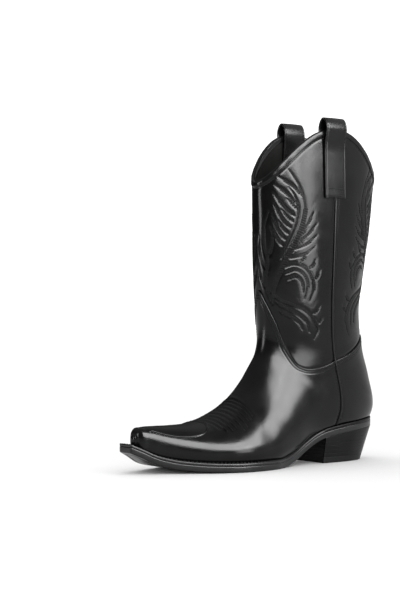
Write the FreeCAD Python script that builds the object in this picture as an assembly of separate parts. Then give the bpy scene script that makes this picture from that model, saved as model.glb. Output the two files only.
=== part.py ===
import FreeCAD, Part
import math
import os

# Western riding boot for the left foot, millimetres.
# Frame: origin at the centre of the heel's rest face, +Z up, toe towards -Y, outer side of the foot +X.
# The boot stands on the heel's top lift and on the ball of the outsole, both at Z = 0.

# ---------------------------------------------------------------- driving dimensions
UPPER_LEATHER = 1.8         # outer leather of vamp, counter and shaft
LINING = 1.6                # lining leather
STIFFENER = 0.8             # toe puff and heel stiffener, skived into the lining
WELT = 3.0
OUTSOLE = 6.0
INSOLE = 3.0
SOCK = 1.4
PIPING_PROUD = 1.0
PIPING_WIDTH = 2.4
BINDING_PROUD = 0.8
BINDING_DEPTH = 4.5         # how far the rolled binding reaches down both faces
BINDING_CAP = 1.2
STRAP_WIDTH = 28.0
STRAP_THICK = 2.2
STRAP_LEG_BOTTOM = 276.0
STRAP_FLEX_Z = 331.0        # line where the free loop bends from its stitched legs
STRAP_FLEX_GAP = 0.9        # room for the loop's ends to dip as it rocks
STRAP_TOP = 359.5
STRAP_Y = -30.0
WELT_RING = 10.0            # width of the welt from the sole edge inwards
LASTING_RING = 17.0         # sole edge to the inner edge of the lasted upper
TOP_LIFT = 6.0
HEEL_LIFT = 4.0
HEEL_LIFTS = 4
HEEL_TILT = 0.434           # how far the heel's back slants forward per mm of height
SHANK_WIDTH = 13.0
SHANK_THICK = 1.8
NAIL_D = 2.0
PEG_D = 2.2
STITCH = (3.3, 0.9, 0.6)    # length, width and height of one outsole stitch
STITCH_PITCH = 4.6
STITCH_INSET = 2.2

HALF_X = 90.0               # reach of the cutting solids to either side

# Stations of the last, toe to top line.  Each is a closed ring in the plane through the front (ridge)
# point F and the back (or underside) point B, parallel to X:
# F_y, F_z, B_y, B_z, outer half width, inner half width, centre x,
# where the widest point lies from F to B, roundness of the front half, roundness of the back half.
STATIONS = [
    (-249.4, 38.5, -249.4, 26.5, 4.5, 4.5, -12.5, 0.45, 2.8, 2.6),
    (-248.5, 41.0, -248.5, 23.0, 7.0, 7.0, -12.5, 0.46, 3.0, 2.6),
    (-246.5, 43.5, -246.8, 18.5, 9.5, 9.5, -12.5, 0.48, 3.0, 2.6),
    (-240.0, 45.0, -240.0, 12.0, 13.0, 13.0, -12.5, 0.50, 2.7, 2.6),
    (-225.0, 45.5, -225.0, 6.0, 21.5, 20.5, -12.0, 0.55, 2.4, 2.6),
    (-205.0, 45.5, -205.0, 2.5, 32.5, 30.5, -10.5, 0.58, 2.2, 2.7),
    (-183.0, 47.0, -183.0, 0.5, 43.0, 40.5, -8.0, 0.60, 2.0, 2.8),
    (-163.0, 52.5, -163.0, 0.0, 48.5, 46.5, -5.0, 0.64, 1.85, 2.8),
    (-146.0, 61.5, -146.0, 0.0, 50.0, 47.5, -3.0, 0.68, 1.75, 2.8),
    (-130.0, 76.0, -108.0, 0.0, 47.5, 43.5, -2.0, 0.68, 1.70, 2.7),
    (-117.5, 92.0, -69.0, 11.0, 41.0, 37.0, -1.0, 0.62, 1.75, 2.5),
    (-109.5, 104.0, -43.0, 22.8, 37.5, 36.0, -0.5, 0.58, 1.8, 2.4),
    (-104.0, 113.0, -5.0, 28.0, 35.5, 35.0, 0.0, 0.55, 1.9, 2.35),
    (-101.5, 120.0, 35.0, 33.4, 34.5, 34.5, 0.0, 0.52, 1.95, 2.3),
    (-100.0, 126.8, 49.0, 52.0, 34.0, 34.0, 0.0, 0.50, 1.95, 2.3),
    (-99.5, 134.5, 43.5, 86.5, 33.5, 33.5, 0.0, 0.50, 1.95, 2.2),
    (-99.5, 141.8, 34.0, 117.0, 34.0, 34.0, 0.0, 0.50, 1.95, 2.1),
    (-100.0, 150.0, 30.0, 150.0, 35.0, 35.0, 0.0, 0.50, 1.95, 2.05),
    (-103.0, 190.0, 34.0, 190.0, 37.0, 37.0, 0.0, 0.50, 1.95, 2.0),
    (-104.5, 230.0, 42.0, 230.0, 37.5, 37.5, 0.0, 0.50, 1.95, 2.0),
    (-106.0, 290.0, 51.5, 290.0, 36.5, 36.5, 0.0, 0.50, 1.95, 2.0),
    (-107.0, 356.0, 58.0, 356.0, 35.0, 35.0, 0.0, 0.50, 1.95, 2.0),
]
RING_POINTS = 40
ROW_PITCH = 9.0

# Feather line: side view (y, z) of the edge where the upper meets the welt.
FEATHER = [(-285.0, 41.5), (-259.0, 30.0), (-248.0, 25.0), (-234.0, 18.0), (-219.0, 13.7), (-202.0, 11.2),
           (-185.0, 9.9), (-165.0, 9.2), (-138.0, 9.0), (-118.0, 9.0), (-103.0, 9.1), (-89.0, 11.0),
           (-77.0, 15.3), (-63.0, 22.6), (-45.0, 31.6), (-33.0, 35.8), (-17.0, 38.6), (5.0, 41.4),
           (26.0, 43.6), (75.0, 48.5)]
# Top line: side view of the scalloped rim, high at the side seams and dipped front and back.
RIM = [(-125.0, 271.0), (-106.0, 290.5), (-92.0, 306.0), (-74.0, 325.0), (-54.0, 340.0), (-36.0, 345.6),
       (-27.0, 346.2), (-16.0, 345.6), (2.0, 339.0), (20.0, 326.5), (38.0, 309.5), (52.0, 296.0), (75.0, 273.0)]
# Upper edge of the vamp and counter: a tall tongue on the instep, low at the sides, high at the back.
VAMP_TOP = [(-125.0, 260.0), (-103.6, 187.0), (-101.2, 174.0), (-97.2, 160.0), (-90.8, 142.0), (-82.5, 119.0),
            (-75.0, 105.0), (-66.0, 99.5), (-55.0, 98.8), (-42.0, 101.2), (-27.0, 106.5), (-10.0, 112.0),
            (12.0, 122.5), (33.0, 136.0), (75.0, 160.0)]
# Side seams, written as (y, z) from the feather line to the rim.
SIDE_SEAM = [(-23.0, 0.0), (-20.5, 38.0), (-18.0, 60.0), (-19.5, 76.0), (-25.0, 98.0), (-29.5, 124.0),
             (-32.5, 170.0), (-31.0, 230.0), (-28.0, 285.0), (-26.5, 380.0)]
# Toe puff: everything ahead of this line.  Heel stiffener: everything behind and below this one.
PUFF_EDGE = [(-212.0, 0.0), (-207.0, 30.0), (-212.0, 60.0)]
STIFFENER_EDGE = [(-22.0, 20.0), (-14.0, 52.0), (4.0, 76.0), (28.0, 90.0), (75.0, 98.0)]

# Sole plan: y, inner x, outer x, from the snipped toe to the heel seat.
SOLE_PLAN = [(-259.0, -23.5, -3.5), (-240.0, -31.0, 4.3), (-212.0, -41.8, 21.0), (-184.0, -50.7, 37.4),
             (-160.0, -53.2, 46.2), (-138.0, -50.6, 48.0), (-115.0, -45.2, 44.8), (-93.0, -35.6, 36.2),
             (-72.0, -29.6, 30.4), (-50.0, -27.8, 28.0), (-25.0, -28.6, 28.8), (0.0, -28.5, 28.7),
             (18.0, -26.4, 26.4), (34.0, -20.4, 20.4), (45.0, -10.4, 10.4)]
SOLE_BACK_Y = 49.0
RAND_Y = -36.0              # the welt stops here and the heel rand takes over

HEEL_FRONT_Y = -37.0        # breast line at the floor
HEEL_BACK_Y = 32.0
HEEL_HALF = 26.6
HEEL_LOFT_Z = 50.0
HEEL_FRONT_LEAN = 0.12
HEEL_HALF_FLARE = 0.050

NAIL_XY = [(-19.0, -30.0), (0.0, -30.0), (19.0, -30.0), (-18.0, 2.0), (18.0, 2.0), (0.0, 24.0)]
PEG_Y = [-84.0, -76.0, -68.0, -60.0, -52.0, -44.0]
PEG_INSET = 5.5


# ---------------------------------------------------------------- helpers
def vec(x, y, z):
    return FreeCAD.Vector(x, y, z)


def spline(points, periodic=False):
    curve = Part.BSplineCurve()
    curve.interpolate(points, PeriodicFlag=periodic)
    return curve


def side_curve(profile, dz=0.0, x=-HALF_X):
    return spline([vec(x, y, z + dz) for y, z in profile])


def height_at(profile, y):
    """Height of a side-view line at y, read on its spline."""
    curve = side_curve(profile)
    low, high = curve.FirstParameter, curve.LastParameter
    for _ in range(40):
        mid = 0.5 * (low + high)
        if curve.value(mid).y < y:
            low = mid
        else:
            high = mid
    return curve.value(low).z


def prism_between(lower, upper):
    """Solid between two side-view curves, right across the boot."""
    a = lower.value(lower.FirstParameter)
    b = lower.value(lower.LastParameter)
    c = upper.value(upper.LastParameter)
    d = upper.value(upper.FirstParameter)
    wire = Part.Wire([lower.toShape(), Part.makeLine(b, c), upper.toShape(), Part.makeLine(d, a)])
    return Part.Face(wire).extrude(vec(2 * HALF_X, 0, 0))


def slab(dz_low, dz_high):
    """Layer that follows the feather line, between two heights from it."""
    return prism_between(side_curve(FEATHER, dz_low), side_curve(FEATHER, dz_high))


def region_from(curve, corners):
    """Solid on one side of a side-view curve, closed through the given (y, z) corners."""
    start = curve.value(curve.FirstParameter)
    points = [curve.value(curve.LastParameter)] + [vec(-HALF_X, y, z) for y, z in corners] + [start]
    edges = [Part.makeLine(points[i], points[i + 1]) for i in range(len(points) - 1)]
    return Part.Face(Part.Wire([curve.toShape()] + edges)).extrude(vec(2 * HALF_X, 0, 0))


def ring_point(station, angle):
    fy, fz, by, bz, w_out, w_in, xc, widest, n_front, n_back = station
    c = math.cos(angle)
    s = math.sin(angle)
    power = 2.0 / (n_front if c > 0 else n_back)
    along = math.copysign(abs(c) ** power, c)
    across = math.copysign(abs(s) ** power, s)
    t = widest - widest * along if along > 0 else widest - (1 - widest) * along
    half = w_out if s > 0 else w_in
    return vec(xc + half * across, fy + (by - fy) * t, fz + (bz - fz) * t)


def station_parameters():
    mids = [((s[0] + s[2]) / 2, (s[1] + s[3]) / 2) for s in STATIONS]
    total = [0.0]
    for a, b in zip(mids[:-1], mids[1:]):
        total.append(total[-1] + math.hypot(b[0] - a[0], b[1] - a[1]))
    return total


def station_slopes(knots):
    last = len(STATIONS) - 1
    slopes = []
    for i in range(last + 1):
        row = []
        for k in range(10):
            before = after = None
            if i > 0:
                before = (STATIONS[i][k] - STATIONS[i - 1][k]) / (knots[i] - knots[i - 1])
            if i < last:
                after = (STATIONS[i + 1][k] - STATIONS[i][k]) / (knots[i + 1] - knots[i])
            if before is None or after is None:
                row.append(after if before is None else before)
            else:
                h0 = knots[i] - knots[i - 1]
                h1 = knots[i + 1] - knots[i]
                row.append((before * h1 + after * h0) / (h0 + h1))
        slopes.append(row)
    return slopes


KNOTS = station_parameters()
SLOPES = station_slopes(KNOTS)


def station_at(u):
    """Station blended smoothly along the last; u is the distance along its middle line."""
    i = 0
    while i < len(KNOTS) - 2 and u > KNOTS[i + 1]:
        i += 1
    h = KNOTS[i + 1] - KNOTS[i]
    t = (u - KNOTS[i]) / h
    h00 = 2 * t ** 3 - 3 * t ** 2 + 1
    h10 = (t ** 3 - 2 * t ** 2 + t) * h
    h01 = 3 * t ** 2 - 2 * t ** 3
    h11 = (t ** 3 - t ** 2) * h
    a, b, ma, mb = STATIONS[i], STATIONS[i + 1], SLOPES[i], SLOPES[i + 1]
    return [h00 * a[k] + h10 * ma[k] + h01 * b[k] + h11 * mb[k] for k in range(10)]


def section_offsets(u, inset):
    """Ring of the last at u, moved inwards by inset measured square to the surface."""
    station = station_at(u)
    du = 0.4
    ahead = station_at(min(u + du, KNOTS[-1]))
    behind = station_at(max(u - du, KNOTS[0]))
    plane_dir = vec(0, station[2] - station[0], station[3] - station[1]).normalize()
    across = vec(1, 0, 0)
    plane_normal = across.cross(plane_dir)
    ring = []
    step = 2 * math.pi / RING_POINTS
    for k in range(RING_POINTS):
        angle = k * step
        p = ring_point(station, angle)
        tangent = ring_point(station, angle + 0.02) - ring_point(station, angle - 0.02)
        in_plane = tangent.cross(plane_normal).normalize()
        if in_plane.dot(p - vec(station[6], (station[0] + station[2]) / 2, (station[1] + station[3]) / 2)) < 0:
            in_plane = in_plane * -1
        lengthwise = ring_point(ahead, angle) - ring_point(behind, angle)
        normal = tangent.cross(lengthwise).normalize()
        facing = max(abs(normal.dot(in_plane)), 0.45)
        ring.append(p - in_plane * (inset / facing))
    return ring


def last_solid(inset):
    """The closed body of the last, shrunk by inset (or grown, when inset is negative)."""
    start = max(inset, 0.0) * 1.25
    rows = [start]
    for a, b in zip(KNOTS[:-1], KNOTS[1:]):
        count = max(1, int(math.ceil((b - a) / ROW_PITCH)))
        rows += [a + (b - a) * (k + 1) / count for k in range(count) if a + (b - a) * (k + 1) / count > start + 0.9]
    poles = [section_offsets(u, inset) for u in rows]
    n = len(rows)
    m = RING_POINTS
    surface = Part.BSplineSurface()
    surface.buildFromPolesMultsKnots(poles, [4] + [1] * (n - 4) + [4], [1] * (m + 1),
                                     [float(k) for k in range(n - 2)], [float(k) for k in range(m + 1)],
                                     False, True, 3, 3)
    first, last = surface.bounds()[:2]
    caps = [Part.Face(Part.Wire([surface.uIso(u).toShape()])) for u in (first, last)]
    shell = Part.Shell([surface.toShape()] + caps)
    shell.sewShape()
    solid = Part.Solid(shell)
    if solid.Volume < 0:
        solid.reverse()
    return solid


def sole_outline(inset=0.0):
    """Closed plan outline of the sole, shrunk evenly by inset."""
    front = SOLE_PLAN[0][0]
    length = SOLE_BACK_Y - front
    outer = []
    inner = []
    for y, x_in, x_out in SOLE_PLAN:
        half = (x_out - x_in) / 2
        middle = (x_out + x_in) / 2
        shrink = max(half - inset, 0.35 * half)
        y_new = front + inset + (y - front) * (length - 2 * inset) / length
        outer.append(vec(middle + shrink, y_new, 0))
        inner.append(vec(middle - shrink, y_new, 0))
    back = vec(0, SOLE_BACK_Y - inset, 0)
    side = spline(outer + [back] + inner[::-1])
    return Part.Wire([side.toShape(), Part.makeLine(inner[0], outer[0])])


def sole_prism(inset=0.0):
    return Part.Face(sole_outline(inset)).extrude(vec(0, 0, 120))


def heel_outline(z):
    front = HEEL_FRONT_Y + HEEL_FRONT_LEAN * z
    back = HEEL_BACK_Y + HEEL_TILT * z
    half = HEEL_HALF + HEEL_HALF_FLARE * z
    length = back - front
    side = [(1.0, 0.0), (0.99, 0.33), (0.93, 0.58), (0.72, 0.82), (0.40, 0.955)]
    right = [vec(half * w, front + length * t, z) for w, t in side]
    left = [vec(-p.x, p.y, z) for p in right]
    curve = spline(right + [vec(0, back, z)] + left[::-1])
    return Part.Wire([curve.toShape(), Part.makeLine(left[0], right[0])])


def box(x0, x1, y0, y1, z0, z1):
    return Part.makeBox(x1 - x0, y1 - y0, z1 - z0, vec(x0, y0, z0))


# ---------------------------------------------------------------- shared bodies
SKIN = last_solid(0.0)
UNDER_LEATHER = last_solid(UPPER_LEATHER)
UNDER_STIFFENER = last_solid(UPPER_LEATHER + STIFFENER)
FOOT_ROOM = last_solid(UPPER_LEATHER + LINING)

RIM_CURVE = side_curve(RIM)
VAMP_CURVE = side_curve(VAMP_TOP)
SEAM_CURVE = side_curve(SIDE_SEAM)
IN_FRONT = region_from(SEAM_CURVE, [(-320.0, 380.0), (-320.0, 0.0)])
BEHIND = region_from(SEAM_CURVE, [(120.0, 380.0), (120.0, 0.0)])
LOW = region_from(VAMP_CURVE, [(75.0, -20.0), (-320.0, -20.0), (-320.0, 260.0)])
HIGH = region_from(VAMP_CURVE, [(75.0, 420.0), (-125.0, 420.0)])


def between_feather_and_rim(dz):
    curve = side_curve(FEATHER, dz)
    rim_end = RIM_CURVE.value(RIM_CURVE.LastParameter)
    rim_start = RIM_CURVE.value(RIM_CURVE.FirstParameter)
    a = curve.value(curve.FirstParameter)
    b = curve.value(curve.LastParameter)
    edges = [curve.toShape(), Part.makeLine(b, rim_end), RIM_CURVE.toShape(),
             Part.makeLine(rim_start, vec(-HALF_X, a.y, rim_start.z)),
             Part.makeLine(vec(-HALF_X, a.y, rim_start.z), a)]
    return Part.Face(Part.Wire(edges)).extrude(vec(2 * HALF_X, 0, 0))


def seam_strip(half_width, z_top):
    """Thin slice along both side seams."""
    near = SEAM_CURVE.copy()
    far = SEAM_CURVE.copy()
    near.translate(vec(0, -half_width, 0))
    far.translate(vec(0, half_width, 0))
    strip = prism_between(near, far)
    return strip.common(box(-HALF_X, HALF_X, -80, 60, 0, z_top))


def leather_layer():
    """Outer leather with its lasting margin, turned in under the insole."""
    body = SKIN.common(between_feather_and_rim(0.0))
    cavity = UNDER_LEATHER.common(prism_between(side_curve(FEATHER, UPPER_LEATHER), raised_rim()))
    window = sole_prism(LASTING_RING).common(slab(-1.0, UPPER_LEATHER + 0.5))
    return body.cut(cavity).cut(window)


def raised_rim():
    return spline([vec(-HALF_X, FEATHER[0][0], 420.0), vec(-HALF_X, FEATHER[-1][0], 420.0)])


def lining_layer():
    room = UNDER_LEATHER.common(between_feather_and_rim(UPPER_LEATHER))
    return room.cut(FOOT_ROOM)


LEATHER = leather_layer()
LINING_SHELL = lining_layer()
PIPING_SLOT = seam_strip(PIPING_WIDTH / 2, STRAP_LEG_BOTTOM - 3.0)


# ---------------------------------------------------------------- upper
def vamp():
    return LEATHER.common(LOW).common(IN_FRONT).cut(PIPING_SLOT)


def counter():
    return LEATHER.common(LOW).common(BEHIND).cut(PIPING_SLOT)


def front_shaft():
    return LEATHER.common(HIGH).common(IN_FRONT).cut(PIPING_SLOT)


def back_shaft():
    return LEATHER.common(HIGH).common(BEHIND).cut(PIPING_SLOT)


def side_piping(side):
    """Rolled leather welt in the side seam, standing slightly proud of both panels."""
    grown = last_solid(-PIPING_PROUD)
    half = box(0, HALF_X, -80, 60, 0, 400) if side > 0 else box(-HALF_X, 0, -80, 60, 0, 400)
    wall = grown.common(PIPING_SLOT).common(half).common(between_feather_and_rim(0.0))
    return wall.cut(UNDER_LEATHER)


def toe_puff():
    curve = side_curve(PUFF_EDGE)
    ahead = region_from(curve, [(-320.0, 60.0), (-320.0, 0.0)])
    wall = UNDER_LEATHER.common(between_feather_and_rim(UPPER_LEATHER)).cut(UNDER_STIFFENER)
    return wall.common(ahead)


def heel_stiffener():
    curve = side_curve(STIFFENER_EDGE)
    behind = region_from(curve, [(75.0, 20.0)])
    wall = UNDER_LEATHER.common(between_feather_and_rim(UPPER_LEATHER)).cut(UNDER_STIFFENER)
    return wall.common(behind)


def top_binding():
    """Rolled strip that wraps the raw edge of leather and lining all round the top line."""
    outer = last_solid(-BINDING_PROUD)
    inner = last_solid(UPPER_LEATHER + LINING + BINDING_PROUD)
    band = prism_between(side_curve(RIM, -BINDING_DEPTH), side_curve(RIM, BINDING_CAP))
    ring = outer.common(band).cut(inner)
    wall = SKIN.common(between_feather_and_rim(0.0)).cut(FOOT_ROOM)
    return ring.cut(wall)


# ---------------------------------------------------------------- pull straps
def skin_x(z):
    """Half width of the shaft's outer face at the side seam."""
    curve = spline([vec(s[4], 0, s[1]) for s in STATIONS[17:]])
    low, high = curve.FirstParameter, curve.LastParameter
    for _ in range(40):
        mid = 0.5 * (low + high)
        if curve.value(mid).z < z:
            low = mid
        else:
            high = mid
    return curve.value(low).x


def strap_profile():
    """Front view of one strap loop: outside leg, round top, inside leg; outer and inner lines."""
    gap = 0.06
    wall = UPPER_LEATHER + LINING
    middle = skin_x(346.0) - wall / 2
    radius = (STRAP_TOP - 349.0) - STRAP_THICK
    springing = STRAP_TOP - STRAP_THICK - radius
    lean = radius * 0.62
    out_leg = [(skin_x(z) + gap, z) for z in (STRAP_LEG_BOTTOM, 296.0, 316.0)]
    out_leg.append((skin_x(331.0) + 0.55, 331.0))
    in_leg = [(skin_x(z) - wall - gap - lift, z) for z, lift in ((STRAP_LEG_BOTTOM, 0.5), (296.0, 0.7), (316.0, 1.1))]
    in_leg.append((skin_x(331.0) - wall - 2.0, 331.0))
    top = [(middle + lean, springing), (middle, springing + radius), (middle - lean, springing)]
    return out_leg + top + in_leg[::-1]


def strap_solid(side):
    inner_line = spline([vec(side * x, STRAP_Y - STRAP_WIDTH / 2, z) for x, z in strap_profile()])
    outer_points = []
    count = 48
    first, last = inner_line.FirstParameter, inner_line.LastParameter
    for k in range(count + 1):
        u = first + (last - first) * k / count
        tangent = inner_line.tangent(u)[0]
        normal = vec(tangent.z, 0, -tangent.x) * side
        outer_points.append(inner_line.value(u) + normal * STRAP_THICK)
    if outer_points[0].x * side < inner_line.value(first).x * side:
        outer_points = [inner_line.value(first + (last - first) * k / count) * 2 - outer_points[k]
                        for k in range(count + 1)]
    outer_line = spline(outer_points)
    ends = [Part.makeLine(inner_line.value(last), outer_points[-1]),
            Part.makeLine(outer_points[0], inner_line.value(first))]
    face = Part.Face(Part.Wire([inner_line.toShape(), ends[0], outer_line.toShape(), ends[1]]))
    return face.extrude(vec(0, STRAP_WIDTH, 0))


def pull_strap(side):
    return strap_solid(side).common(box(-HALF_X, HALF_X, -60, 20, STRAP_FLEX_Z, 400))


def strap_legs(side):
    legs = strap_solid(side).common(box(-HALF_X, HALF_X, -60, 20, 200, STRAP_FLEX_Z - STRAP_FLEX_GAP))
    return legs.cut(SKIN.cut(FOOT_ROOM))


# ---------------------------------------------------------------- bottom
def insole():
    return FOOT_ROOM.common(slab(UPPER_LEATHER, UPPER_LEATHER + INSOLE))


def sock_liner():
    return FOOT_ROOM.common(slab(UPPER_LEATHER + INSOLE, UPPER_LEATHER + INSOLE + SOCK))


def shank():
    middle = slab(-0.6 - SHANK_THICK, -0.6)
    return middle.common(box(-SHANK_WIDTH / 2, SHANK_WIDTH / 2, -106, 10, 0, 80))


def welt_ring():
    return sole_prism().cut(sole_prism(WELT_RING)).common(slab(-WELT, 0.0))


def welt():
    return welt_ring().common(box(-HALF_X, HALF_X, -300, RAND_Y, -5, 100)).cut(waist_pegs())


def heel_rand():
    return welt_ring().common(box(-HALF_X, HALF_X, RAND_Y, 100, -5, 100))


def cork_filler():
    low = sole_prism(WELT_RING).common(slab(-WELT, 0.0))
    high = sole_prism(LASTING_RING).common(slab(0.0, UPPER_LEATHER))
    return low.fuse(high).removeSplitter().cut(shank())


def outsole():
    return sole_prism().common(slab(-WELT - OUTSOLE, -WELT)).cut(waist_pegs())


def waist_pegs():
    """Wooden pegs in two rows through outsole and welt across the waist."""
    pegs = []
    for y in PEG_Y:
        for side in (-1, 1):
            x = plan_x(y, side) - side * PEG_INSET
            top = height_at(FEATHER, y) - 0.8
            bottom = height_at(FEATHER, y) - WELT - OUTSOLE + 0.9
            pegs.append(Part.makeCylinder(PEG_D / 2, top - bottom, vec(x, y, bottom)))
    return Part.makeCompound(pegs)


def plan_x(y, side):
    """x of the sole edge at y, on the outer (+1) or inner (-1) side."""
    column = 2 if side > 0 else 1
    for a, b in zip(SOLE_PLAN[:-1], SOLE_PLAN[1:]):
        if a[0] <= y <= b[0]:
            return a[column] + (b[column] - a[column]) * (y - a[0]) / (b[0] - a[0])
    return 0.0


def outsole_stitching():
    """Lockstitches on the welt, from one side of the waist round the toe to the other."""
    edge = sole_outline(STITCH_INSET)
    stitches = []
    length, width, height = STITCH
    for curve in edge.Edges:
        count = int(curve.Length / STITCH_PITCH)
        for p_at, p_next in pairs_along(curve, count):
            if p_at.y > -100.0:
                continue
            heading = math.degrees(math.atan2(p_next.y - p_at.y, p_next.x - p_at.x))
            z_at = height_at(FEATHER, p_at.y)
            z_next = height_at(FEATHER, p_next.y)
            run = math.hypot(p_next.x - p_at.x, p_next.y - p_at.y)
            climb = math.degrees(math.atan2(z_next - z_at, run))
            cross = math.degrees(math.atan((height_at(FEATHER, p_at.y + 1.0) - z_at)))
            stitch = Part.makeBox(length, width, height, vec(-length / 2, -width / 2, 0))
            stitch.rotate(vec(0, 0, 0), vec(0, 1, 0), -climb)
            stitch.rotate(vec(0, 0, 0), vec(0, 0, 1), heading)
            lift = 0.04 + abs(math.tan(math.radians(cross))) * width * 0.5
            stitch.translate(vec(p_at.x, p_at.y, z_at + lift))
            stitches.append(stitch)
    return Part.makeCompound(stitches)


def pairs_along(curve, count):
    points = curve.discretize(Number=2 * count + 1)
    return [(points[2 * k + 1], points[2 * k + 2]) for k in range(count)]


# ---------------------------------------------------------------- heel
HEEL_BODY = Part.makeLoft([heel_outline(0.0), heel_outline(HEEL_LOFT_Z)], True, True)


def heel_nails():
    """Brass nails driven up through the top lift into the stack."""
    nails = [Part.makeCylinder(NAIL_D / 2, 15.0, vec(x, y, 0.4)) for x, y in NAIL_XY]
    return Part.makeCompound(nails)


def heel_slice(z0, z1):
    return HEEL_BODY.common(box(-HALF_X, HALF_X, -80, 90, z0, z1)).cut(heel_nails())


def top_lift():
    return heel_slice(0.0, TOP_LIFT)


def heel_lift(index):
    z0 = TOP_LIFT + HEEL_LIFT * index
    return heel_slice(z0, z0 + HEEL_LIFT)


def heel_base():
    """Wedge that turns the level stack into the slope of the heel seat."""
    z0 = TOP_LIFT + HEEL_LIFT * HEEL_LIFTS
    under = slab(-60.0, -WELT - OUTSOLE).common(box(-HALF_X, HALF_X, -80, 70, z0, 80))
    return HEEL_BODY.common(under)


# ---------------------------------------------------------------- write
def write(name, shape):
    solids = shape.Solids
    if len(solids) == 1:
        shape = solids[0]
    else:
        shape = Part.makeCompound(solids)
    shape.exportStep("parts/" + name + ".step")
    b = shape.BoundBox
    print("%-20s solids %2d  volume %9.1f  x %6.1f %6.1f  y %7.1f %6.1f  z %6.1f %6.1f  %s" % (
        name, len(solids), shape.Volume, b.XMin, b.XMax, b.YMin, b.YMax, b.ZMin, b.ZMax, shape.isValid()))


def main():
    os.makedirs("parts", exist_ok=True)
    puff = toe_puff()
    stiffener = heel_stiffener()
    linings = LINING_SHELL.cut(puff).cut(stiffener)
    write("vamp", vamp())
    write("counter", counter())
    write("front_shaft", front_shaft())
    write("back_shaft", back_shaft())
    write("toe_puff", puff)
    write("heel_stiffener", stiffener)
    write("vamp_lining", linings.common(LOW).common(IN_FRONT))
    write("heel_lining", linings.common(LOW).common(BEHIND))
    write("front_shaft_lining", linings.common(HIGH).common(IN_FRONT))
    write("back_shaft_lining", linings.common(HIGH).common(BEHIND))
    write("outer_piping", side_piping(1))
    write("inner_piping", side_piping(-1))
    write("top_binding", top_binding())
    write("outer_pull_strap", pull_strap(1))
    write("outer_strap_legs", strap_legs(1))
    write("inner_pull_strap", pull_strap(-1))
    write("inner_strap_legs", strap_legs(-1))
    write("insole", insole())
    write("sock_liner", sock_liner())
    write("steel_shank", shank())
    write("cork_filler", cork_filler())
    write("welt", welt())
    write("heel_rand", heel_rand())
    write("outsole", outsole())
    write("outsole_stitching", outsole_stitching())
    write("waist_pegs", waist_pegs())
    write("heel_base", heel_base())
    for index in range(HEEL_LIFTS):
        write("heel_lift_%d" % (index + 1), heel_lift(index))
    write("top_lift", top_lift())
    write("heel_nails", heel_nails())


main()
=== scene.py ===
import math

import bmesh
import bpy
import numpy as np
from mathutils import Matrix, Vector
from mathutils.kdtree import KDTree


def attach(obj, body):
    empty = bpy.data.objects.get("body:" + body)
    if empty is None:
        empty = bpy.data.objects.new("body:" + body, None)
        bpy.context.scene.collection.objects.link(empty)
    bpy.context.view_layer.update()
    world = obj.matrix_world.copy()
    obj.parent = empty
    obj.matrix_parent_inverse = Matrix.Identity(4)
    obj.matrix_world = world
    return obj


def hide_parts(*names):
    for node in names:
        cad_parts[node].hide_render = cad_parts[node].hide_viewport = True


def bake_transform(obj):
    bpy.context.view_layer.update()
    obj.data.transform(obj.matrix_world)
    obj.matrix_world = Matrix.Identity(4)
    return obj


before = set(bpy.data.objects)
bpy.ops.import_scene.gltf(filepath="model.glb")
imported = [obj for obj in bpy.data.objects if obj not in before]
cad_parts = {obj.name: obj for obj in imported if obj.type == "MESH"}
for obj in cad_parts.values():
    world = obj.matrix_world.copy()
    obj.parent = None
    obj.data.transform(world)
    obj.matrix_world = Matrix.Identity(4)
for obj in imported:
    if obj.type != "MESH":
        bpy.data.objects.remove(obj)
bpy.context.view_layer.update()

# Western boot for the left foot.  Shape tables are in millimetres, like the model's own source; meshes
# are made in metres in the same frame: toe towards -Y, outer side of the foot +X, floor at Z = 0.
MM = 0.001

# ---- driving shape
# Rings of the last from toe to top line: F_y, F_z, B_y, B_z, outer half width, inner half width,
# centre x, where the widest point lies from F to B, roundness of the front half and of the back half.
STATIONS = np.array([
    (-249.4, 38.5, -249.4, 26.5, 4.5, 4.5, -12.5, 0.45, 2.8, 2.6),
    (-248.5, 41, -248.5, 23, 7, 7, -12.5, 0.46, 3, 2.6),
    (-246.5, 43.5, -246.8, 18.5, 9.5, 9.5, -12.5, 0.48, 3, 2.6),
    (-240, 45, -240, 12, 13, 13, -12.5, 0.50, 2.7, 2.6),
    (-225, 45.5, -225, 6, 21.5, 20.5, -12, 0.55, 2.4, 2.6),
    (-205, 45.5, -205, 2.5, 32.5, 30.5, -10.5, 0.58, 2.2, 2.7),
    (-183, 47, -183, 0.5, 43, 40.5, -8, 0.60, 2, 2.8),
    (-163, 52.5, -163, 0, 48.5, 46.5, -5, 0.64, 1.85, 2.8),
    (-146, 61.5, -146, 0, 50, 47.5, -3, 0.68, 1.75, 2.8),
    (-130, 76, -108, 0, 47.5, 43.5, -2, 0.68, 1.70, 2.7),
    (-117.5, 92, -69, 11, 41, 37, -1, 0.62, 1.75, 2.5),
    (-109.5, 104, -43, 22.8, 37.5, 36, -0.5, 0.58, 1.8, 2.4),
    (-104, 113, -5, 28, 35.5, 35, 0, 0.55, 1.9, 2.35),
    (-101.5, 120, 35, 33.4, 34.5, 34.5, 0, 0.52, 1.95, 2.3),
    (-100, 126.8, 49, 52, 34, 34, 0, 0.50, 1.95, 2.3),
    (-99.5, 134.5, 43.5, 86.5, 33.5, 33.5, 0, 0.50, 1.95, 2.2),
    (-99.5, 141.8, 34, 117, 34, 34, 0, 0.50, 1.95, 2.1),
    (-100, 150, 30, 150, 35, 35, 0, 0.50, 1.95, 2.05),
    (-103, 190, 34, 190, 37, 37, 0, 0.50, 1.95, 2),
    (-104.5, 230, 42, 230, 37.5, 37.5, 0, 0.50, 1.95, 2),
    (-106, 290, 51.5, 290, 36.5, 36.5, 0, 0.50, 1.95, 2),
    (-107, 356, 58, 356, 35, 35, 0, 0.50, 1.95, 2),
])
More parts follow.
